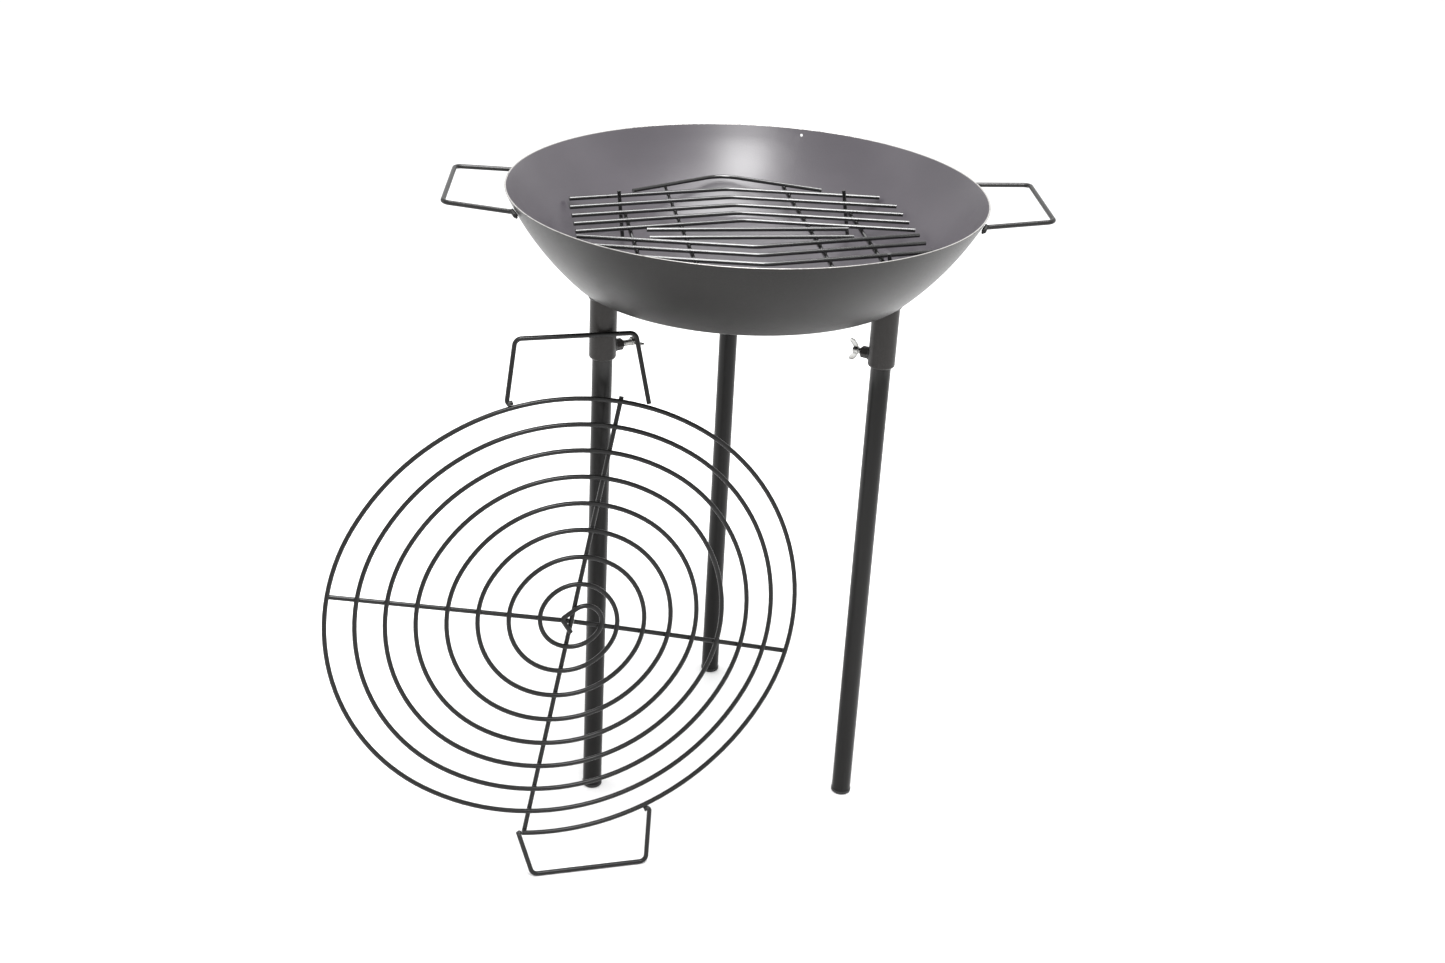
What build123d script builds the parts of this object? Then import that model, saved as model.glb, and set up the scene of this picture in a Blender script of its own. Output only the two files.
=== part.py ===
from build123d import *
import math
import os

# Fire pit with a drop-in fire grate and a round spiral grill that leans on it.
# Millimetres. Origin: bowl axis at floor level, +Z up, +X through the right bowl handle.

# Bowl
rim_radius = 300
rim_height = 830
base_height = 718
base_radius = 218
wall_curve = 362
knuckle_radius = 8
bowl_sheet = 2
rim_rounding = 0.6
hook_hole_radius = 2
hook_hole_angle = 72
hook_hole_height = 822

# Bowl handles
wire_radius = 3
handle_reach = 369
handle_half_width = 75.7
handle_bar_height = 822
handle_weld_half_width = 87.5
handle_weld_height = 816
handle_weld_radius = 297.2
handle_foot_length = 15
handle_bend = 10
handle_foot_bend = 6

# Legs and their sockets
leg_ring_radius = 198.7
leg_angles = {"right": -30, "back": 90, "left": 210}
socket_radius = 33.7 / 2
socket_bottom = 637
socket_rounding = 3
leg_radius = 25.4 / 2
leg_wall = 1.5
leg_running_gap = 0.08
leg_top_gap = 0.3
cap_thickness = 5
cap_radius = 13.2
cap_bevel = 1.6
spigot_length = 18
spigot_gap = 0.05

# Clamp nuts and wing screws, set radially towards the bowl axis
clamp_height = 650
nut_flats = 13
nut_end = 27
screw_radius = 4
screw_running_gap = 0.05
screw_tip_gap = 0.4
hub_radius = 5
hub_start = 31
hub_length = 7.5
wing_half_span = 15.5
wing_reach = 14
wing_thickness = 2.2
wing_rounding = 1.8
# How far each screw is backed out, and the turn of its wings from upright.
screw_states = {"right": (0, 0), "back": (0, 0), "left": (8.5, 90)}

# Fire grate, turned a little in the bowl
rod_radius = 2.75
grate_plane = 769.5
grate_turn = 6.5
grate_shift = 8
grate_bend = 45
# Each long rod by how far its bend is from the middle, with its reach to the left and right.
long_rods = {
    52: (-219, 215),
    83: (-219, 215),
    116: (-219, 215),
    151: (-219, 215),
    187: (-217, 201),
}
long_rod_slope = 42 / 214
short_rod_apex = 251
short_rod_reach = (-129, 129)
short_rod_slope = 71 / 129
straight_rod_offset = 15.5
straight_rod_half_length = 129
inner_rail_offset = 82
inner_rail_half_length = 211
outer_rail_offset = 148.5
outer_rail_half_length = 95
grate_foot_radius = 2.5
grate_foot_rod = 151
grate_foot_top = 784
# Extra length at each end of a foot. At the bottom it is cut flush with the bowl's floor.
grate_foot_extra = 2
# Where each foot crosses the rod that it is welded to, and how far it leans from there.
grate_feet_x = {"left": -152, "right": 149}
grate_foot_lean = {"left": -0.1, "right": -0.16}

# Spiral grill: leans with its top handle on the left leg's socket
grill_foot = (-169.3, -282.0)
grill_heading = 12.5
grill_top_bar = 690.6
grill_centre = (-13.0, 329.7)
socket_touch_gap = 0.3
spiral_start = (-73.2, -272.1)
spiral_start_angle = -6.6
spiral_first_angle = 57
spiral_first_radius = 299.35
spiral_step = 7.959
spiral_step_growth = 0.015
spiral_oval = 35.51
spiral_oval_step = 1.079
spiral_shift_x = 0.62
spiral_shift_y = 0.66
spiral_arcs = 32
spiral_last_radii = (42, 21)
spiral_last_turn = 155
spiral_tail_run = 22
spiral_tail_end = (-3.5, -12.8)
spiral_corner_bend = 4
bar_depth = 2 * wire_radius
upright_top = (68.5, 282)
upright_bottom = (-70, -274)
cross_left = ((-299, 57), (-5, 0.8))
cross_right = ((1.5, -0.8), (279, -65))
grill_handle_axis = 12.5
grill_bar_half_width = 74
grill_handle_bend = 9
grill_foot_bend = 3.3
# Where each leg of a handle meets the ring: one foot butts on it, the other lies along it.
top_left_foot = (-74.6, 281.5)
top_left_foot_end = (-66.8, 283.4)
top_right_foot = (101.4, 272.1)
bottom_left_foot = (-78.1, -270.5)
bottom_right_foot = (92.9, -255.8)
bottom_right_foot_end = (85.5, -258.8)

os.makedirs("parts", exist_ok=True)


def save(solid, label):
    solid.label = label
    export_step(solid, f"parts/{label}.step")


def bent_line(points, radii):
    """Straight runs through the points, with each inner corner rounded to its own radius."""
    corners = [Vector(*point) for point in points]
    start = corners[0]
    for before, corner, after, radius in zip(corners, corners[1:], corners[2:], radii):
        back = (before - corner).normalized()
        onward = (after - corner).normalized()
        half_angle = math.radians(back.get_angle(onward) / 2)
        setback = radius / math.tan(half_angle)
        arc_depth = radius / math.sin(half_angle) - radius
        arc_start = corner + back * setback
        arc_end = corner + onward * setback
        Line(start, arc_start)
        ThreePointArc(arc_start, corner + (back + onward).normalized() * arc_depth, arc_end)
        start = arc_end
    Line(start, corners[-1])


def bent_wire(points, radii, radius):
    """A round wire bent along bent_line."""
    with BuildPart() as wire:
        with BuildLine() as path:
            bent_line(points, radii)
        with BuildSketch(Plane(origin=path.line @ 0, z_dir=path.line % 0)):
            Circle(radius)
        sweep(path=path.line)
    return wire.part


def straight_wire(start, end, radius):
    """A straight round wire between two points."""
    run = Vector(*end) - Vector(*start)
    with BuildPart() as wire:
        with BuildSketch(Plane(origin=start, z_dir=run)):
            Circle(radius)
        extrude(amount=run.length)
    return wire.part


# ---------------------------------------------------------------- bowl
with BuildPart() as bowl:
    with BuildSketch(Plane.XZ):
        with BuildLine():
            Line((0, rim_height), (0, base_height))
            Line((0, base_height), (base_radius, base_height))
            RadiusArc((base_radius, base_height), (rim_radius, rim_height), -wall_curve)
            Line((rim_radius, rim_height), (0, rim_height))
        make_face()
    revolve(axis=Axis.Z)
    fillet(bowl.edges().filter_by(GeomType.CIRCLE).sort_by(Axis.Z)[0], knuckle_radius)
    offset(amount=-bowl_sheet, openings=bowl.faces().sort_by(Axis.Z)[-1])
    fillet(bowl.edges().group_by(Axis.Z)[-1], rim_rounding)
    hook_direction = Vector(1, 0, 0).rotate(Axis.Z, hook_hole_angle)
    hook_start = hook_direction * (rim_radius - 25) + Vector(0, 0, hook_hole_height)
    with BuildSketch(Plane(origin=hook_start, z_dir=hook_direction)):
        Circle(hook_hole_radius)
    extrude(amount=40, mode=Mode.SUBTRACT)
save(bowl.part, "bowl")

# ---------------------------------------------------------------- bowl handles
weld_angle = math.degrees(math.asin(handle_weld_half_width / handle_weld_radius))
foot_turn = math.degrees(handle_foot_length / handle_weld_radius)
for side, half_turn in (("right", 0), ("left", 180)):
    handle_points = []
    for angle in (-weld_angle - foot_turn, -weld_angle, weld_angle, weld_angle + foot_turn):
        on_wall = Vector(handle_weld_radius, 0, handle_weld_height).rotate(Axis.Z, angle)
        handle_points.append(on_wall)
    handle_points[2:2] = [
        Vector(handle_reach, -handle_half_width, handle_bar_height),
        Vector(handle_reach, handle_half_width, handle_bar_height),
    ]
    handle_points = [point.rotate(Axis.Z, half_turn) for point in handle_points]
    handle_radii = (handle_foot_bend, handle_bend, handle_bend, handle_foot_bend)
    save(bent_wire(handle_points, handle_radii, wire_radius), f"bowl_handle_{side}")


# ---------------------------------------------------------------- sockets, legs, clamps
def clamp_plane(angle, reach):
    """Across a clamp screw: z points from the socket to the bowl axis, y points up."""
    inward = Vector(-1, 0, 0).rotate(Axis.Z, angle)
    socket_axis = Vector(leg_ring_radius, 0, clamp_height).rotate(Axis.Z, angle)
    across = Vector(0, 0, 1).cross(inward)
    return Plane(origin=socket_axis + inward * reach, x_dir=across, z_dir=inward)


for side, angle in leg_angles.items():
    socket_axis = Vector(leg_ring_radius, 0, 0).rotate(Axis.Z, angle)
    socket_floor = Plane(origin=socket_axis + Vector(0, 0, socket_bottom))

    with BuildPart() as socket:
        with BuildSketch(socket_floor):
            Circle(socket_radius)
            Circle(leg_radius + leg_running_gap, mode=Mode.SUBTRACT)
        extrude(amount=base_height - socket_bottom)
        bottom_rings = socket.faces().sort_by(Axis.Z)[0].edges()
        fillet(bottom_rings.sort_by(SortBy.LENGTH)[-1], socket_rounding)
        with BuildSketch(clamp_plane(angle, 0)):
            Circle(screw_radius + 0.6)
        extrude(amount=socket_radius + 5, mode=Mode.SUBTRACT)
    save(socket.part, f"leg_socket_{side}")

    with BuildPart() as nut:
        with BuildSketch(clamp_plane(angle, leg_radius + 1)):
            RegularPolygon(radius=nut_flats / 2, side_count=6, major_radius=False)
        extrude(amount=nut_end - leg_radius - 1)
        chamfer(nut.faces().sort_by(Axis(socket_axis, -socket_axis))[-1].edges(), 0.5)
        with BuildSketch(socket_floor):
            Circle(socket_radius)
        extrude(amount=base_height - socket_bottom, mode=Mode.SUBTRACT)
        with BuildSketch(clamp_plane(angle, 0)):
            Circle(screw_radius + screw_running_gap)
        extrude(amount=nut_end + 5, mode=Mode.SUBTRACT)
    save(nut.part, f"clamp_nut_{side}")

    backed_out, wing_turn = screw_states[side]
    screw_tip = leg_radius + screw_tip_gap + backed_out
    screw_hub = hub_start + backed_out
    with BuildPart() as screw:
        with BuildSketch(clamp_plane(angle, screw_tip)):
            Circle(screw_radius)
        extrude(amount=screw_hub - screw_tip)
        chamfer(screw.faces().sort_by(Axis(socket_axis, -socket_axis))[0].edges(), 0.8)
        with BuildSketch(clamp_plane(angle, screw_hub)):
            Circle(hub_radius)
        extrude(amount=hub_length)
        chamfer(screw.faces().sort_by(Axis(socket_axis, -socket_axis))[-1].edges(), 0.8)
        hub_frame = clamp_plane(angle, screw_hub).rotated((0, 0, wing_turn))
        wing_frame = Plane(hub_frame.origin, x_dir=hub_frame.y_dir, z_dir=hub_frame.x_dir)
        with BuildSketch(wing_frame):
            with BuildLine():
                Polyline(
                    (0, 0.6),
                    (5.5, 0.6),
                    (wing_half_span, wing_reach * 0.55),
                    (wing_half_span - 1, wing_reach),
                    (wing_half_span - 5.5, wing_reach),
                    (5, hub_length - 0.6),
                    (0, hub_length - 0.6),
                    (0, 0.6),
                )
            wing_half = make_face()
            mirror(wing_half, about=Plane.YZ)
            fillet(vertices().group_by(Axis.X)[0] + vertices().group_by(Axis.X)[-1], wing_rounding)
        extrude(amount=wing_thickness / 2, both=True)
    save(screw.part, f"wing_screw_{side}")

    with BuildPart() as leg:
        with BuildSketch(Plane(origin=socket_axis + Vector(0, 0, cap_thickness))):
            Circle(leg_radius)
            Circle(leg_radius - leg_wall, mode=Mode.SUBTRACT)
        extrude(amount=base_height - leg_top_gap - cap_thickness)
    save(leg.part, f"leg_{side}")

    with BuildPart() as foot_plug:
        with BuildSketch(Plane(origin=socket_axis)):
            Circle(cap_radius)
        extrude(amount=cap_thickness)
        chamfer(foot_plug.faces().sort_by(Axis.Z)[0].edges(), cap_bevel)
        with BuildSketch(Plane(origin=socket_axis + Vector(0, 0, cap_thickness))):
            Circle(leg_radius - leg_wall - spigot_gap)
        extrude(amount=spigot_length)
        chamfer(foot_plug.faces().sort_by(Axis.Z)[-1].edges(), 1)
    save(foot_plug.part, f"foot_plug_{side}")


# ---------------------------------------------------------------- fire grate
def in_grate(x, y, z):
    """A point in the grate's own turned and shifted frame."""
    return Vector(x + grate_shift, y, z).rotate(Axis.Z, grate_turn)


def grate_rod(apex, reach, slope, label):
    points = []
    for x in (reach[0], 0, reach[1]):
        points.append(in_grate(x, math.copysign(abs(apex) - abs(x) * slope, apex), grate_plane))
    save(bent_wire(points, [grate_bend], rod_radius), label)


for place, sign in (("back", 1), ("front", -1)):
    for number, (apex, reach) in enumerate(long_rods.items(), start=1):
        grate_rod(sign * apex, reach, long_rod_slope, f"grate_rod_{place}_{number}")
    short_label = f"grate_rod_{place}_short"
    grate_rod(sign * short_rod_apex, short_rod_reach, short_rod_slope, short_label)
    straight_y = sign * straight_rod_offset
    straight_rod = straight_wire(
        in_grate(-straight_rod_half_length, straight_y, grate_plane),
        in_grate(straight_rod_half_length, straight_y, grate_plane),
        rod_radius,
    )
    save(straight_rod, f"grate_rod_{place}_straight")

rail_height = grate_plane - 2 * rod_radius
foot_side_step = (rod_radius + grate_foot_radius + 0.05) / math.cos(math.atan(long_rod_slope))
for place, sign in (("left", -1), ("right", 1)):
    inner_rail = straight_wire(
        in_grate(sign * inner_rail_offset, -inner_rail_half_length, rail_height),
        in_grate(sign * inner_rail_offset, inner_rail_half_length, rail_height),
        rod_radius,
    )
    save(inner_rail, f"grate_rail_inner_{place}")
    outer_rail = straight_wire(
        in_grate(sign * outer_rail_offset, -outer_rail_half_length, rail_height),
        in_grate(sign * outer_rail_offset, outer_rail_half_length, rail_height),
        rod_radius,
    )
    save(outer_rail, f"grate_rail_outer_{place}")
    foot_lean = grate_foot_lean[place]
    foot_x = grate_feet_x[place]
    foot_y = grate_foot_rod - abs(foot_x) * long_rod_slope + foot_side_step
    for depth, foot_sign in (("front", -1), ("back", 1)):
        below = foot_lean * (base_height + bowl_sheet - grate_plane)
        above = foot_lean * (grate_foot_top - grate_plane)
        foot_start = in_grate(foot_x + below, foot_sign * foot_y, base_height + bowl_sheet)
        foot_end = in_grate(foot_x + above, foot_sign * foot_y, grate_foot_top)
        with BuildPart() as grate_foot:
            with BuildSketch(Plane(origin=foot_start, z_dir=foot_end - foot_start)):
                Circle(grate_foot_radius)
            extrude(amount=(foot_end - foot_start).length + grate_foot_extra)
            extrude(grate_foot.faces().sort_by(Axis.Z)[0], amount=grate_foot_extra)
            split(bisect_by=Plane.XY.offset(base_height + bowl_sheet), keep=Keep.TOP)
        save(grate_foot.part, f"grate_foot_{depth}_{place}")

# ---------------------------------------------------------------- spiral grill
# The lean follows from the top bar touching the left socket.
heading = Vector(1, 0, 0).rotate(Axis.Z, grill_heading)
behind = Vector(0, 0, 1).cross(heading)
foot_centre = Vector(grill_foot[0], grill_foot[1], wire_radius)
left_socket = Vector(leg_ring_radius, 0, 0).rotate(Axis.Z, leg_angles["left"])
socket_distance = (left_socket - foot_centre).dot(behind)
top_bar_setback = socket_distance - socket_radius - wire_radius - socket_touch_gap
lean = math.degrees(math.asin(top_bar_setback / grill_top_bar))
slope = (behind * math.sin(math.radians(lean))) + Vector(0, 0, math.cos(math.radians(lean)))
front = heading.cross(slope)
crossing = foot_centre + heading * grill_centre[0] + slope * grill_centre[1]
grill_plane = Plane(origin=crossing, x_dir=heading, z_dir=front)


def in_grill(x, y, depth=0):
    """A point in the grill's plane, or behind it by depth."""
    return grill_plane.from_local_coords(Vector(x, y, -depth))


with BuildPart() as spiral:
    with BuildLine() as spiral_path:
        point = Vector(*spiral_start, 0)
        angle = spiral_start_angle
        turns = [spiral_first_angle - spiral_start_angle] + [90] * spiral_arcs
        radii = []
        for i in range(spiral_arcs):
            shrink = (spiral_step + spiral_step_growth * i) * i
            oval = (-1) ** i * (spiral_oval - spiral_oval_step * i)
            quarter = math.radians(90 * i)
            shift = spiral_shift_x * math.cos(quarter) - spiral_shift_y * math.sin(quarter)
            radii.append(spiral_first_radius - shrink + oval + shift)
        turns.append(spiral_last_turn)
        radii.extend(spiral_last_radii)
        for turn, radius in zip(turns, radii):
            spoke = Vector(0, -radius, 0).rotate(Axis.Z, angle)
            hub = point - spoke
            middle = hub + spoke.rotate(Axis.Z, turn / 2)
            end = hub + spoke.rotate(Axis.Z, turn)
            ThreePointArc(in_grill(*point), in_grill(*middle), in_grill(*end))
            point = end
            angle = angle + turn
        corner = point + Vector(spiral_tail_run, 0, 0).rotate(Axis.Z, angle)
        tail = [in_grill(*point), in_grill(*corner), in_grill(*spiral_tail_end)]
        bent_line(tail, [spiral_corner_bend])
    with BuildSketch(Plane(origin=spiral_path.line @ 0, z_dir=spiral_path.line % 0)):
        Circle(wire_radius)
    sweep(path=spiral_path.line)
save(spiral.part, "grill_spiral")

for label, (start, end) in {
    "grill_upright_bar": (upright_bottom, upright_top),
    "grill_cross_bar_left": cross_left,
    "grill_cross_bar_right": cross_right,
}.items():
    bar = straight_wire(in_grill(*start, bar_depth), in_grill(*end, bar_depth), wire_radius)
    save(bar, label)

bar_left = grill_handle_axis - grill_bar_half_width
bar_right = grill_handle_axis + grill_bar_half_width
top_bar = grill_top_bar - grill_centre[1]
bottom_bar = -grill_centre[1]
top_handle_points = [
    in_grill(*top_left_foot_end),
    in_grill(*top_left_foot),
    in_grill(bar_left, top_bar),
    in_grill(bar_right, top_bar),
    in_grill(*top_right_foot),
]
bottom_handle_points = [
    in_grill(*bottom_right_foot_end),
    in_grill(*bottom_right_foot),
    in_grill(bar_right, bottom_bar),
    in_grill(bar_left, bottom_bar),
    in_grill(*bottom_left_foot),
]
grill_radii = (grill_foot_bend, grill_handle_bend, grill_handle_bend)
save(bent_wire(top_handle_points, grill_radii, wire_radius), "grill_handle_top")
save(bent_wire(bottom_handle_points, grill_radii, wire_radius), "grill_handle_bottom")
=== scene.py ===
import math

import bmesh
import bpy
from mathutils import Matrix, Vector


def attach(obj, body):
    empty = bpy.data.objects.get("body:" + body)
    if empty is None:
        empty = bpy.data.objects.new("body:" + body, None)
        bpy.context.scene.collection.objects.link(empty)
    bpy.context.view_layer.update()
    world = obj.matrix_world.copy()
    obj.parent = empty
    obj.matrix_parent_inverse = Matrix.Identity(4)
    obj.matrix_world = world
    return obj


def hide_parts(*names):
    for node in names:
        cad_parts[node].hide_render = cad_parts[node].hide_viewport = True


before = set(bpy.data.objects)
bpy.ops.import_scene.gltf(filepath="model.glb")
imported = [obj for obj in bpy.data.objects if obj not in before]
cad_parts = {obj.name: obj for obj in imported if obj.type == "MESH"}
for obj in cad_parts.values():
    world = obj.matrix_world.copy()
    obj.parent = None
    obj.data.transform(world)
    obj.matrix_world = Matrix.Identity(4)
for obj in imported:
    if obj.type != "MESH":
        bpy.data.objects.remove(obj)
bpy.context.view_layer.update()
MM = 0.001
SIDES = {"right": -30, "back": 90, "left": 210}
LEG_RING_RADIUS = 198.7 * MM
LEG_RADIUS = 12.7 * MM
CLAMP_HEIGHT = 650 * MM
SCREW_TIP_GAP = 0.4
SCREW_HUB_START = 31
# The bowl wall's arc: how far past the axis its centre lies, how high, and its inner radius.
WALL_CENTRE = (0.0277, 0.9839)
WALL_INSIDE = (0.3606, 0.3614)
FLOOR_INSIDE = (0.7187, 0.7193)
RIM_EDGE = (0.82935, 0.82985)


# ------------------------------------------------------------------ shader tools
class Value:
    """A number that changes over a surface; sums and products of it add Math nodes."""

    def __init__(self, finish, socket):
        self.finish = finish
        self.socket = socket

    def math(self, operation, *others):
        inputs = {i: other for i, other in enumerate((self, *others))}
        return self.finish.value("ShaderNodeMath", {"operation": operation}, inputs)

    def flipped(self, operation, other):
        return self.finish.value("ShaderNodeMath", {"operation": operation}, {0: other, 1: self})

    def __add__(self, other):
        return self.math("ADD", other)

    def __sub__(self, other):
        return self.math("SUBTRACT", other)

    def __mul__(self, other):
        return self.math("MULTIPLY", other)

    def __rsub__(self, other):
        return self.flipped("SUBTRACT", other)

    __radd__ = __add__
    __rmul__ = __mul__

    def above(self, low, high):
        """0 up to low, 1 from high on, smooth between."""
        settings = {"interpolation_type": "SMOOTHSTEP"}
        return self.finish.value(
            "ShaderNodeMapRange", settings, {"Value": self, "From Min": low, "From Max": high}
        )


class Finish:
    """One node material with a Principled shader."""

    def __init__(self, name, **constants):
        self.material = bpy.data.materials.new(name)
        self.material.use_nodes = True
        self.tree = self.material.node_tree
        self.shader = self.tree.nodes["Principled BSDF"]
        self.place = self.node("ShaderNodeTexCoord").outputs["Object"]
        for socket, constant in constants.items():
            self.shader.inputs[socket.replace("_", " ")].default_value = constant

    def node(self, kind, settings=None, inputs=None):
        made = self.tree.nodes.new(kind)
        for key, setting in (settings or {}).items():
            setattr(made, key, setting)
        for key, given in (inputs or {}).items():
            socket = given.socket if isinstance(given, Value) else given
            if isinstance(socket, bpy.types.NodeSocket):
                self.tree.links.new(socket, made.inputs[key])
            else:
                made.inputs[key].default_value = socket
        return made

    def value(self, kind, settings=None, inputs=None, output=0):
        return Value(self, self.node(kind, settings, inputs).outputs[output])

    def noise(self, scale, detail=2.0, roughness=0.5, stretch=(1, 1, 1)):
        place = self.node("ShaderNodeMapping", {}, {"Vector": self.place, "Scale": stretch})
        inputs = {"Vector": place.outputs[0], "Scale": scale, "Detail": detail}
        inputs["Roughness"] = roughness
        return self.value("ShaderNodeTexNoise", {"normalize": True}, inputs)

    def cells(self, scale):
        inputs = {"Vector": self.place, "Scale": scale}
        return self.value("ShaderNodeTexVoronoi", {"feature": "F1"}, inputs)

    def height(self):
        split = self.node("ShaderNodeSeparateXYZ", {}, {0: self.place})
        return Value(self, split.outputs["Z"])

    def blend(self, mask, under, over):
        """A colour: under where mask is 0, over where it is 1."""
        inputs = {"Factor": mask, 6: under, 7: over}
        settings = {"data_type": "RGBA", "clamp_factor": True}
        return self.node("ShaderNodeMix", settings, inputs).outputs[2]

    def feed(self, socket, given):
        given = given.socket if isinstance(given, Value) else given
        self.tree.links.new(given, self.shader.inputs[socket])

    def grain(self, pattern, depth, strength=1.0):
        inputs = {"Height": pattern, "Distance": depth, "Strength": strength}
        self.feed("Normal", self.node("ShaderNodeBump", {}, inputs).outputs[0])


def grey(level, warmth=0.0):
    return (level * (1 + warmth), level, level * (1 - warmth * 0.6), 1.0)


def inside_bowl(paint):
    """1 on the bowl's inner skin, 0 outside it, from the wall's own arc."""
    split = paint.node("ShaderNodeSeparateXYZ", {}, {0: paint.place})
    x, y, z = (Value(paint, split.outputs[i]) for i in range(3))
    radius = (x * x + y * y).math("SQRT")
    out, over = radius + WALL_CENTRE[0], z - WALL_CENTRE[1]
    from_centre = (out * out + over * over).math("SQRT")
    return (1.0 - from_centre.above(*WALL_INSIDE)) * z.above(*FLOOR_INSIDE)


def sheet_paint(name, base, rim=False):
    """Satin heat-resistant paint with an orange-peel skin and faint handling marks."""
    paint = Finish(name, IOR=1.5, Specular_IOR_Level=0.16, Coat_Roughness=0.3, Coat_IOR=1.45)
    clouds = paint.noise(7.0, 4.0)
    peel = paint.noise(520.0, 3.0, 0.55)
    fleck = paint.cells(1400.0)
    colour = paint.blend(clouds.above(0.3, 0.75), grey(base * 0.9, 0.09), grey(base * 1.12, 0.07))
    colour = paint.blend(fleck.above(0.52, 0.7) * 0.35, colour, grey(base * 2.4, 0.02))
    rough = 0.36 + (clouds - 0.5) * 0.1 + (peel - 0.5) * 0.16
    gloss = 0.02
    if rim:
        inner = inside_bowl(paint)
        # Painted light: the inner skin is coloured about four times lighter than the outside, with a
        # faint purple tint, to stand in for the lit inside of the bowl.
        painted_lit_inside = paint.blend(clouds.above(0.3, 0.75), (0.040, 0.036, 0.042, 1), (0.048, 0.043, 0.050, 1))
        colour = paint.blend(inner, colour, painted_lit_inside)
        gloss = gloss + inner * 0.75
        # The top edge of the rim is coloured lighter and partly metallic, in patches.
        rim_patch_noise = paint.noise(160.0, 3.0)
        rim_edge_patches = paint.height().above(*RIM_EDGE) * rim_patch_noise.above(0.18, 0.5)
        colour = paint.blend(rim_edge_patches, colour, (0.3, 0.29, 0.28, 1))
        rough = rough - rim_edge_patches * 0.1
        paint.feed("Metallic", rim_edge_patches * 0.55)
    paint.feed("Base Color", colour)
    paint.feed("Roughness", rough)
    paint.feed("Coat Weight", gloss + peel * 0.08)
    paint.grain(peel + fleck * 0.35, 0.00018, 0.7)
    return paint.material


def tube_paint():
    """Satin black on drawn tube: faint lengthwise streaks, dust and rub marks."""
    paint = Finish("tube_black", IOR=1.5, Specular_IOR_Level=0.13, Coat_Roughness=0.25)
    streaks = paint.noise(260.0, 3.0, 0.6, (1, 1, 0.02))
    patches = paint.noise(16.0, 4.0, 0.6, (1, 1, 0.35))
    peel = paint.noise(700.0, 2.0)
    dust = patches.above(0.52, 0.8) * streaks.above(0.35, 0.75)
    colour = paint.blend(dust * 0.5, grey(0.006, 0.05), grey(0.022, 0.05))
    rub = paint.height().above(0.6, 0.637) * patches.above(0.45, 0.62)
    colour = paint.blend(rub * 0.35, colour, grey(0.09))
    paint.feed("Base Color", colour)
    paint.feed("Roughness", 0.3 + dust * 0.2 + (streaks - 0.5) * 0.12)
    paint.feed("Coat Weight", 0.05 + patches * 0.08)
    paint.grain(peel + streaks * 0.6, 0.00012, 0.5)
    return paint.material


def wire_paint(name, base, rough, coat, shine=0.3):
    """Paint on bent wire: thin on the high spots, with small runs and pimples."""
    paint = Finish(name, IOR=1.52, Specular_IOR_Level=shine, Coat_Roughness=0.12)
    patches = paint.noise(34.0, 4.0)
    pimples = paint.cells(420.0)
    peel = paint.noise(900.0, 2.0)
    thin = patches.above(0.55, 0.8)
    paint.feed("Base Color", paint.blend(thin * 0.5, grey(base, 0.03), grey(base * 2.2, 0.04)))
    paint.feed("Roughness", rough + (patches - 0.5) * 0.14 + thin * 0.06)
    paint.feed("Coat Weight", coat + (patches - 0.5) * 0.1)
    paint.grain(peel * 0.6 + pimples * 0.5, 0.00018, 0.5)
    return paint.material


def zinc_plate():
    zinc = Finish("zinc_plate", IOR=1.9)
    cloud = zinc.noise(190.0, 4.0)
    scratch = zinc.noise(900.0, 3.0, 0.6, (1, 1, 0.15))
    stain = cloud.above(0.52, 0.78)
    zinc.feed("Base Color", zinc.blend(stain * 0.6, (0.42, 0.42, 0.41, 1), (0.3, 0.27, 0.22, 1)))
    zinc.feed("Metallic", 1.0 - stain * 0.12)
    zinc.feed("Roughness", 0.2 + stain * 0.18 + (scratch - 0.5) * 0.12)
    zinc.grain(scratch, 0.00008, 0.4)
    return zinc.material


def cap_plastic():
    cap = Finish("cap_black", IOR=1.48)
    grainy = cap.noise(1300.0, 3.0)
    scuff = cap.noise(120.0, 4.0)
    ground = 1.0 - cap.height().above(0.0004, 0.0022)
    dirty = scuff.above(0.4, 0.7) * ground
    cap.feed("Base Color", cap.blend(dirty, grey(0.012), grey(0.09, 0.08)))
    cap.feed("Roughness", 0.48 + dirty * 0.3 + (grainy - 0.5) * 0.1)
    cap.grain(grainy, 0.00012, 0.5)
    return cap.material


def weld_metal(name, base):
    """A painted weld: rippled, with darker and lighter sooty patches at random."""
    bead = Finish(name, IOR=1.5, Coat_Roughness=0.3)
    ripple = bead.noise(900.0, 3.0)
    soot = bead.noise(140.0, 3.0)
    bead.feed("Base Color", bead.blend(soot.above(0.35, 0.7), grey(base * 0.7), grey(base * 1.2)))
    bead.feed("Roughness", 0.4 + (ripple - 0.5) * 0.25)
    bead.feed("Coat Weight", 0.1 + soot * 0.1)
    bead.grain(ripple, 0.0003, 0.6)
    return bead.material


bowl_paint = sheet_paint("bowl_paint", 0.011, rim=True)
socket_paint = sheet_paint("socket_paint", 0.024)
leg_paint = tube_paint()
grate_enamel = wire_paint("grate_enamel", 0.003, 0.16, 0.6, 0.4)
grill_paint = wire_paint("grill_paint", 0.005, 0.32, 0.08, 0.25)
handle_paint = wire_paint("handle_paint", 0.008, 0.32, 0.08, 0.25)
zinc = zinc_plate()
cap_black = cap_plastic()
weld_paint = weld_metal("weld_paint", 0.014)
grill_weld = weld_metal("grill_weld", 0.01)

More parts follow.
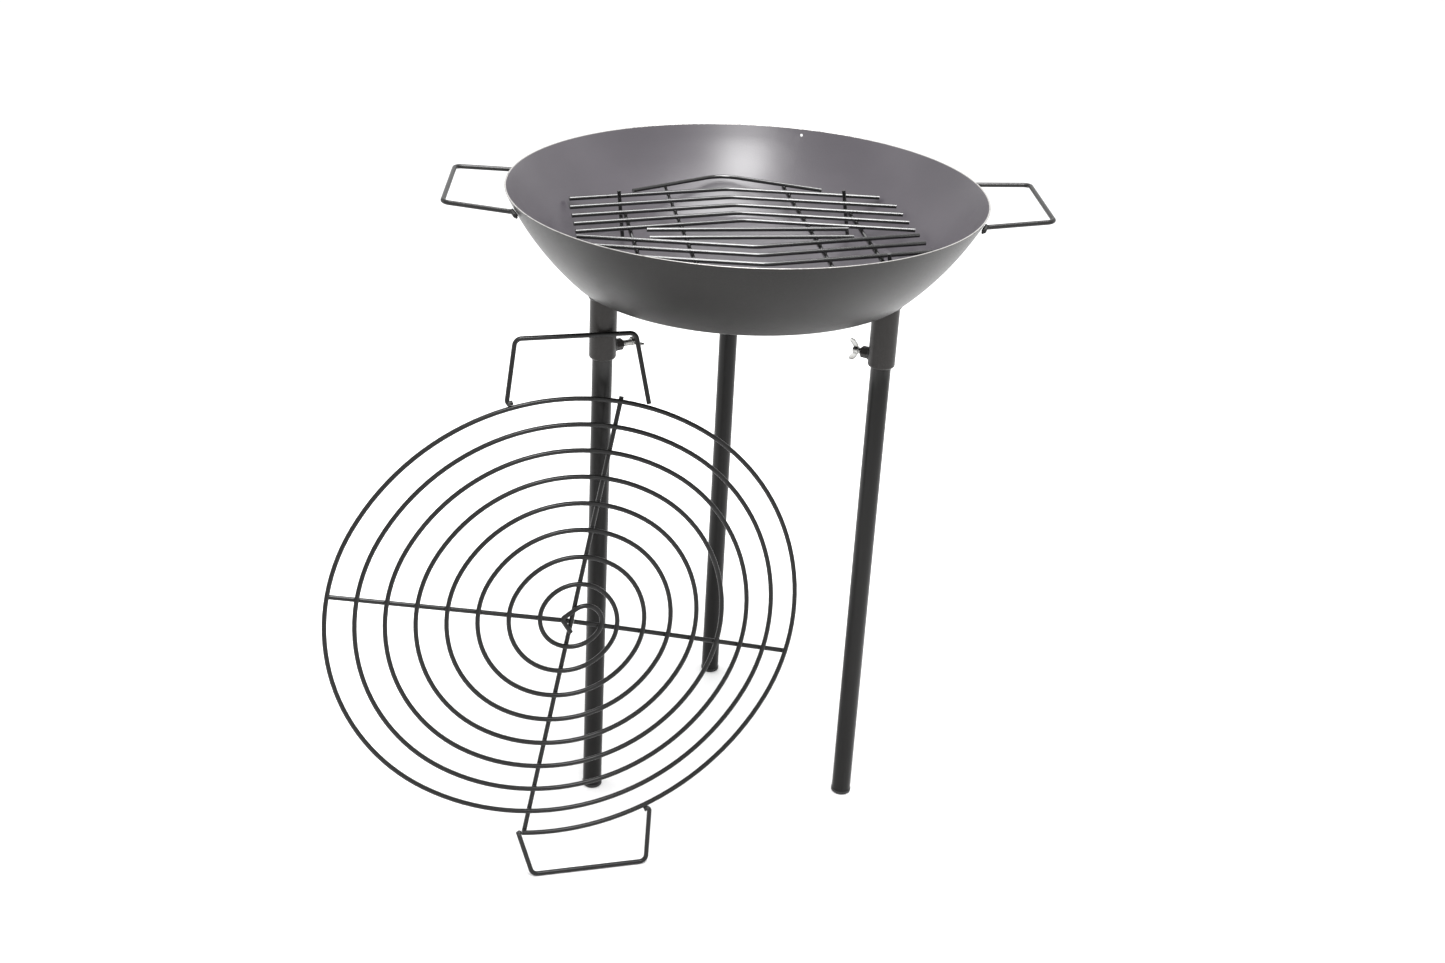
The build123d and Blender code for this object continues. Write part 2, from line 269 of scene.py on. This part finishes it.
FINISHES = {
    "bowl_handle": handle_paint,
    "bowl": bowl_paint,
    "leg_socket": socket_paint,
    "clamp_nut": socket_paint,
    "leg": leg_paint,
    "foot_plug": cap_black,
    "wing_screw": zinc,
    "grate": grate_enamel,
    "grill": grill_paint,
}
for name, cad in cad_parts.items():
    kind = max((key for key in FINISHES if name.startswith(key)), key=len)
    cad.data.materials.clear()
    cad.data.materials.append(FINISHES[kind])


# ------------------------------------------------------------------ mesh tools
def finished(name, mesh, material, body, smooth=True):
    """A piece with its place in its mesh, riding on a body."""
    piece = bpy.data.objects.new(name, mesh)
    bpy.context.scene.collection.objects.link(piece)
    mesh.materials.clear()
    mesh.materials.append(material)
    for face in mesh.polygons:
        face.use_smooth = smooth
    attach(piece, body)
    return piece


def along(socket_angle, reach, turn=0):
    """The frame of a clamp screw: x across, y up, z from the socket to the bowl's axis."""
    inward = Vector((-1, 0, 0))
    inward.rotate(Matrix.Rotation(math.radians(socket_angle), 3, "Z"))
    up = Vector((0, 0, 1))
    across = up.cross(inward)
    origin = -inward * LEG_RING_RADIUS + inward * reach + up * CLAMP_HEIGHT
    basis = Matrix((across, up, inward)).transposed().to_4x4()
    return Matrix.Translation(origin) @ basis @ Matrix.Rotation(math.radians(turn), 4, "Z")


# ------------------------------------------------------------------ wing screws
THREAD_PITCH = 1.25 * MM
THREAD_CREST = 3.98 * MM
THREAD_ROOT = 3.35 * MM
THREAD_LEAD_IN = 1.2 * MM
THREAD_SIDES = 28


def threaded_shank(mesh, start, end):
    """A helical thread as one closed skin, bevelled at its free end."""
    around = THREAD_SIDES
    rows = int((end - start) / (THREAD_PITCH / 6)) + 1
    rings = []
    for row in range(rows + 1):
        reach = start + (end - start) * row / rows
        lead = min(1, (reach - start) / THREAD_LEAD_IN)
        ring = []
        for step in range(around):
            phase = (reach / THREAD_PITCH - step / around) % 1
            depth = min(1, abs(2 * phase - 1) * 1.35)
            radius = (THREAD_ROOT + (THREAD_CREST - THREAD_ROOT) * depth) * (0.8 + 0.2 * lead)
            angle = 2 * math.pi * step / around
            ring.append(mesh.verts.new((radius * math.cos(angle), radius * math.sin(angle), reach)))
        rings.append(ring)
    for lower, upper in zip(rings, rings[1:]):
        for i in range(around):
            j = (i + 1) % around
            mesh.faces.new((lower[i], lower[j], upper[j], upper[i]))
    mesh.faces.new(rings[0][::-1])
    mesh.faces.new(rings[-1])


def turned(mesh, profile, around=36):
    """A solid of revolution about z from (radius, height) pairs, closed at both ends."""
    rings = []
    for radius, height in profile:
        ring = []
        for step in range(around):
            angle = 2 * math.pi * step / around
            ring.append(mesh.verts.new((radius * math.cos(angle), radius * math.sin(angle), height)))
        rings.append(ring)
    for lower, upper in zip(rings, rings[1:]):
        for i in range(around):
            j = (i + 1) % around
            mesh.faces.new((lower[i], lower[j], upper[j], upper[i]))
    mesh.faces.new(rings[0][::-1])
    mesh.faces.new(rings[-1])


def wing_outline(side):
    """One wing seen from its flat side, as a closed round-cornered loop in y and z."""
    corners = [(3.4, 1.0), (8.0, 1.6), (13.6, 6.4), (14.6, 11.5), (11.2, 13.2), (7.2, 9.6), (3.4, 6.6)]
    loop = []
    count = len(corners)
    for i in range(count):
        before, corner, after = (Vector(corners[(i + k) % count]) for k in (-1, 0, 1))
        cut = min(1.5, (before - corner).length * 0.4, (after - corner).length * 0.4)
        first = corner + (before - corner).normalized() * cut
        last = corner + (after - corner).normalized() * cut
        for t in (0, 0.25, 0.5, 0.75, 1):
            loop.append(first * (1 - t) ** 2 + corner * 2 * t * (1 - t) + last * t * t)
    return [Vector((0, side * p.x * MM, p.y * MM)) for p in loop]


def wing(mesh, side):
    """A stamped wing: a thin web inside a thicker rolled edge."""
    loop = wing_outline(side)
    centre = sum(loop, Vector()) / len(loop)
    rows = []
    for inset, half in ((0, 0.0), (0.02, 0.55), (0.09, 0.85), (0.17, 0.7), (0.24, 0.42), (0.6, 0.38)):
        for face in (1, -1):
            ring = []
            for p in loop:
                moved = p + (centre - p) * inset
                ring.append(mesh.verts.new((face * half * MM, moved.y, moved.z)))
            rows.append((face, ring))
    for face in (1, -1):
        rings = [ring for which, ring in rows if which == face]
        for outer, inner in zip(rings, rings[1:]):
            for i in range(len(loop)):
                j = (i + 1) % len(loop)
                mesh.faces.new((outer[i], outer[j], inner[j], inner[i]))
        mesh.faces.new(rings[-1])


def wing_screw(side, backed_out, turn):
    tip = LEG_RADIUS + (SCREW_TIP_GAP + backed_out) * MM
    hub = (SCREW_HUB_START + backed_out) * MM
    mesh = bmesh.new()
    threaded_shank(mesh, tip - hub, 0.4 * MM)
    collar = [(3.2, 0.1), (4.3, 0.1), (4.8, 0.5), (4.95, 1.4), (4.7, 3.6), (4.5, 5.6)]
    crown = [(4.1, 6.9), (3.4, 7.4), (2.6, 7.5), (1.9, 7.2), (0.6, 7.1)]
    turned(mesh, [(radius * MM, height * MM) for radius, height in collar + crown])
    wing(mesh, 1)
    wing(mesh, -1)
    bmesh.ops.remove_doubles(mesh, verts=mesh.verts, dist=1e-6)
    bmesh.ops.recalc_face_normals(mesh, faces=mesh.faces)
    mesh.transform(along(SIDES[side], hub, turn=turn))
    data = bpy.data.meshes.new(f"wing_screw_threaded_{side}")
    mesh.to_mesh(data)
    mesh.free()
    body = f"wing_screw_{side}_body"
    piece = finished(f"wing_screw_threaded_{side}", data, zinc, body)
    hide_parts(f"wing_screw_{side}")


wing_screw("right", 0, 0)
wing_screw("back", 0, 0)
wing_screw("left", 8.5, 90)


# ------------------------------------------------------------------ welds
def weld_tree():
    """Overlapping rounded beads along a path, each a little different in size."""
    tree = bpy.data.node_groups.new("weld_beads", "GeometryNodeTree")
    face = tree.interface
    face.new_socket("Path", in_out="INPUT", socket_type="NodeSocketGeometry")
    for name in ("Bead Radius", "Spacing", "Flatness"):
        face.new_socket(name, in_out="INPUT", socket_type="NodeSocketFloat")
    face.new_socket("Paint", in_out="INPUT", socket_type="NodeSocketMaterial")
    face.new_socket("Welds", in_out="OUTPUT", socket_type="NodeSocketGeometry")

    def node(kind, **settings):
        made = tree.nodes.new(kind)
        for key, setting in settings.items():
            setattr(made, key, setting)
        return made

    def link(source, target):
        tree.links.new(source, target)

    given = node("NodeGroupInput")
    curve = node("GeometryNodeMeshToCurve")
    spaced = node("GeometryNodeResampleCurve", mode="LENGTH")
    bead = node("GeometryNodeMeshIcoSphere")
    bead.inputs["Subdivisions"].default_value = 3
    place = node("GeometryNodeInstanceOnPoints")
    swell = node("FunctionNodeRandomValue", data_type="FLOAT")
    swell.inputs[2].default_value = 0.84
    swell.inputs[3].default_value = 1.14
    swell.inputs["Seed"].default_value = 7
    size = node("ShaderNodeCombineXYZ")
    flat = node("ShaderNodeMath", operation="MULTIPLY")
    realised = node("GeometryNodeRealizeInstances")
    painted = node("GeometryNodeSetMaterial")
    out = node("NodeGroupOutput")
    link(given.outputs["Path"], curve.inputs[0])
    link(curve.outputs[0], spaced.inputs["Curve"])
    link(given.outputs["Spacing"], spaced.inputs["Length"])
    link(spaced.outputs[0], place.inputs["Points"])
    link(bead.outputs[0], place.inputs["Instance"])
    link(given.outputs["Bead Radius"], bead.inputs["Radius"])
    link(swell.outputs[1], size.inputs["X"])
    link(swell.outputs[1], size.inputs["Y"])
    link(swell.outputs[1], flat.inputs[0])
    link(given.outputs["Flatness"], flat.inputs[1])
    link(flat.outputs[0], size.inputs["Z"])
    link(size.outputs[0], place.inputs["Scale"])
    link(place.outputs[0], realised.inputs[0])
    link(realised.outputs[0], painted.inputs["Geometry"])
    link(given.outputs["Paint"], painted.inputs["Material"])
    link(painted.outputs[0], out.inputs[0])
    return tree


WELDS = weld_tree()


def weld(name, paths, bead, spacing, material, body, flatness=1.0):
    """Weld beads along each path, made by the weld_beads tree and kept as a plain mesh."""
    guide = bpy.data.meshes.new(name + "_guide")
    points = [point for path in paths for point in path]
    edges = []
    first = 0
    for path in paths:
        edges.extend((first + i, first + i + 1) for i in range(len(path) - 1))
        first += len(path)
    guide.from_pydata(points, edges, [])
    holder = bpy.data.objects.new(name + "_guide", guide)
    bpy.context.scene.collection.objects.link(holder)
    modifier = holder.modifiers.new("weld", "NODES")
    modifier.node_group = WELDS
    wanted = {"Bead Radius": bead, "Spacing": spacing, "Flatness": flatness, "Paint": material}
    for item in WELDS.interface.items_tree:
        if item.in_out == "INPUT" and item.name in wanted:
            modifier[item.identifier] = wanted[item.name]
    bpy.context.view_layer.update()
    evaluated = holder.evaluated_get(bpy.context.evaluated_depsgraph_get())
    mesh = bpy.data.meshes.new_from_object(evaluated)
    mesh.name = name
    bpy.data.objects.remove(holder)
    bpy.data.meshes.remove(guide)
    return finished(name, mesh, material, body)


def ring(centre, radius, height, first=0, last=360, steps=72):
    points = []
    for i in range(steps + 1):
        angle = math.radians(first + (last - first) * i / steps)
        offset = Vector((math.cos(angle), math.sin(angle), 0)) * radius
        points.append(Vector((centre.x, centre.y, height)) + offset)
    return points


for side, angle in SIDES.items():
    axis = Vector((LEG_RING_RADIUS, 0, 0))
    axis.rotate(Matrix.Rotation(math.radians(angle), 3, "Z"))
    around_socket = [ring(axis, 17.3 * MM, 716.9 * MM)]
    weld(f"socket_weld_{side}", around_socket, 1.7 * MM, 1.5 * MM, weld_paint, "fire_bowl")
    frame_here = along(angle, 0)
    nut_path = []
    for i in range(49):
        turn = 2 * math.pi * i / 48
        across, up = 7.1 * MM * math.cos(turn), 7.1 * MM * math.sin(turn)
        reach = math.sqrt((16.85 * MM) ** 2 - across**2) + 0.4 * MM
        nut_path.append(frame_here @ Vector((across, up, reach)))
    weld(f"nut_weld_{side}", [nut_path], 1.25 * MM, 1.3 * MM, weld_paint, "fire_bowl")

# Each handle foot has a bead below the wire and one above it: radius and height.
HANDLE_BEADS = ((296, 813.6), (297.3, 818.9))
handle_paths = []
for half_turn in (0, 180):
    for sign in (-1, 1):
        for bead_radius, bead_height in HANDLE_BEADS:
            path = []
            for i in range(8):
                angle = math.radians(half_turn + sign * (17.1 + 2.9 * i / 7))
                outward = Vector((math.cos(angle), math.sin(angle), 0))
                path.append(outward * bead_radius * MM + Vector((0, 0, bead_height * MM)))
            handle_paths.append(path)
weld("handle_welds", handle_paths, 1.5 * MM, 1.6 * MM, weld_paint, "fire_bowl")


# ------------------------------------------------------------------ grate welds
GRATE_SHIFT = 8
GRATE_TURN = 6.5
GRATE_PLANE = 769.5
RAIL_CONTACT = 766.75
LONG_SLOPE = 42 / 214
SHORT_SLOPE = 71 / 129
LONG_RODS = (52, 83, 116, 151, 187)
SHORT_ROD = 251
STRAIGHT_ROD = 15.5
INNER_RAIL = 82
OUTER_RAIL = 148.5
FEET_X = (-152, 149)
FOOT_ROD = 151
ROD_RADIUS = 2.75


def in_grate(x, y, z=RAIL_CONTACT):
    point = Vector((x + GRATE_SHIFT, y, z)) * MM
    point.rotate(Matrix.Rotation(math.radians(GRATE_TURN), 3, "Z"))
    return point


grate_spots = []
for sign in (-1, 1):
    for rail in (-1, 1):
        for apex in LONG_RODS:
            grate_spots.append(in_grate(rail * INNER_RAIL, sign * (apex - INNER_RAIL * LONG_SLOPE)))
        grate_spots.append(in_grate(rail * INNER_RAIL, sign * (SHORT_ROD - INNER_RAIL * SHORT_SLOPE)))
        grate_spots.append(in_grate(rail * INNER_RAIL, sign * STRAIGHT_ROD))
        for apex in LONG_RODS[:3]:
            grate_spots.append(in_grate(rail * OUTER_RAIL, sign * (apex - OUTER_RAIL * LONG_SLOPE)))
    for foot_x in FEET_X:
        foot_y = FOOT_ROD - abs(foot_x) * LONG_SLOPE + ROD_RADIUS
        grate_spots.append(in_grate(foot_x, sign * foot_y, GRATE_PLANE))
spot_paths = [[spot, spot + Vector((0, 0.3 * MM, 0))] for spot in grate_spots]
weld("grate_welds", spot_paths, 2.6 * MM, 1.0, grate_enamel, "fire_grate", 0.8)

# ------------------------------------------------------------------ grill welds
HEADING_ANGLE = math.radians(12.5)
HEADING = Vector((math.cos(HEADING_ANGLE), math.sin(HEADING_ANGLE), 0))
BEHIND = Vector((0, 0, 1)).cross(HEADING)
LEAN = math.radians(13.2914)
SLOPE = BEHIND * math.sin(LEAN) + Vector((0, 0, math.cos(LEAN)))
FRONT = HEADING.cross(SLOPE)
CROSSING = Vector((-169.3, -282.0, 3.0)) + HEADING * -13.0 + SLOPE * 329.7


def in_grill(x, y, depth=0.0):
    return (CROSSING + HEADING * x + SLOPE * y - FRONT * depth) * MM


SPIRAL_START = (-73.2, -272.1)
SPIRAL_START_ANGLE = -6.6
SPIRAL_FIRST_TURN = 63.6
SPIRAL_ARCS = 32
SPIRAL_LAST_TURN = 155
SPIRAL_LAST_RADII = [42, 21]
ARC_STEPS = 45
# A spot weld is counted up to this far past a bar's ends.
BAR_END_REACH = 4


def spiral_points():
    """The spiral as tangent quarter turns of shrinking radius, in the grill's own plane."""
    points = []
    place = Vector(SPIRAL_START)
    angle = SPIRAL_START_ANGLE
    turns = [SPIRAL_FIRST_TURN] + [90] * SPIRAL_ARCS + [SPIRAL_LAST_TURN]
    radii = []
    for i in range(SPIRAL_ARCS):
        shrink = (7.959 + 0.015 * i) * i
        oval = (-1) ** i * (35.51 - 1.079 * i)
        quarter = math.radians(90 * i)
        radii.append(299.35 - shrink + oval + 0.62 * math.cos(quarter) - 0.66 * math.sin(quarter))
    for turn, radius in zip(turns, radii + SPIRAL_LAST_RADII):
        spoke = Vector((math.sin(math.radians(angle)), -math.cos(math.radians(angle)))) * radius
        hub = place - spoke
        for step in range(ARC_STEPS + 1):
            points.append(hub + Matrix.Rotation(math.radians(turn * step / ARC_STEPS), 2) @ spoke)
        place = points[-1]
        angle += turn
    return points


def crossings(start, end):
    """Where the spiral passes over a straight bar."""
    start, end = Vector(start), Vector(end)
    run = end - start
    side = Vector((-run.y, run.x)).normalized()
    found = []
    points = spiral_points()
    for a, b in zip(points, points[1:]):
        u, v = (a - start).dot(side), (b - start).dot(side)
        if (u <= 0 < v or v <= 0 < u) and u != v:
            hit = a.lerp(b, u / (u - v))
            along_bar = (hit - start).dot(run.normalized())
            if -BAR_END_REACH < along_bar < run.length + BAR_END_REACH:
                found.append(hit)
    return found


BARS = [((-70, -274), (68.5, 282)), ((-299, 57), (-5, 0.8)), ((1.5, -0.8), (279, -65))]
grill_spots = []
for start, end in BARS:
    grill_spots.extend(in_grill(hit.x, hit.y, 3.0) for hit in crossings(start, end))
HANDLE_FEET = ((-72, 282.3), (99.8, 267.5), (-77, -272), (90, -257.2))
for foot in HANDLE_FEET:
    grill_spots.append(in_grill(*foot))
spot_paths = [[spot, spot + Vector((0.3 * MM, 0, 0))] for spot in grill_spots]
weld("grill_welds", spot_paths, 3.1 * MM, 1.0, grill_weld, "spiral_grill")


# ------------------------------------------------------------------ floor, light, camera
floor_mesh = bpy.data.meshes.new("floor")
floor_mesh.from_pydata([(-14, -9, 0), (14, -9, 0), (14, 24, 0), (-14, 24, 0)], [], [(0, 1, 2, 3)])
floor = bpy.data.objects.new("floor", floor_mesh)
bpy.context.scene.collection.objects.link(floor)
floor_finish = Finish("floor_white", Base_Color=(0.9, 0.9, 0.9, 1), Roughness=0.9)
floor_mesh.materials.append(floor_finish.material)

world = bpy.data.worlds.new("studio")
bpy.context.scene.world = world
world.use_nodes = True
world.node_tree.nodes["Background"].inputs["Color"].default_value = (1, 1, 1, 1)
world.node_tree.nodes["Background"].inputs["Strength"].default_value = 1.1


def softbox(name, place, aim, size, power):
    lamp = bpy.data.lights.new(name, "AREA")
    lamp.shape = "RECTANGLE"
    lamp.size, lamp.size_y = size
    lamp.energy = power
    holder = bpy.data.objects.new(name, lamp)
    holder.location = place
    holder.rotation_euler = (Vector(aim) - Vector(place)).to_track_quat("-Z", "Y").to_euler()
    bpy.context.scene.collection.objects.link(holder)


softbox("overhead", (0.1, 0.1, 2.6), (0, 0, 0.8), (1.6, 1.0), 80)
# Where the back of the bowl mirrors it to the camera.
softbox("back_wall_highlight", (-0.02, -1.0, 2.35), (-0.02, 0.27, 0.79), (0.6, 0.5), 34)
softbox("left_side", (-3.2, 0.2, 1.4), (0, 0, 0.6), (1.2, 2.4), 12)
softbox("right_side", (3.2, 0.2, 1.4), (0, 0, 0.6), (1.2, 2.4), 8)

camera = bpy.data.cameras.new("camera")
camera.sensor_width = 36.0
camera.lens = 43.26
camera.shift_x = 0.0447
camera.shift_y = -0.0547
camera.clip_end = 100
eye = bpy.data.objects.new("camera", camera)
right = Vector((0.99936, -0.00400, 0.03562))
up = Vector((-0.03088, 0.40808, 0.91242))
back = right.cross(up).normalized()
up = back.cross(right).normalized()
turned_to = Matrix((right.normalized(), up, back)).transposed().to_4x4()
eye.matrix_world = Matrix.Translation((-0.1409, -2.0752, 1.4603)) @ turned_to
bpy.context.scene.collection.objects.link(eye)
bpy.context.scene.camera = eye
bpy.context.scene.view_settings.view_transform = "Standard"
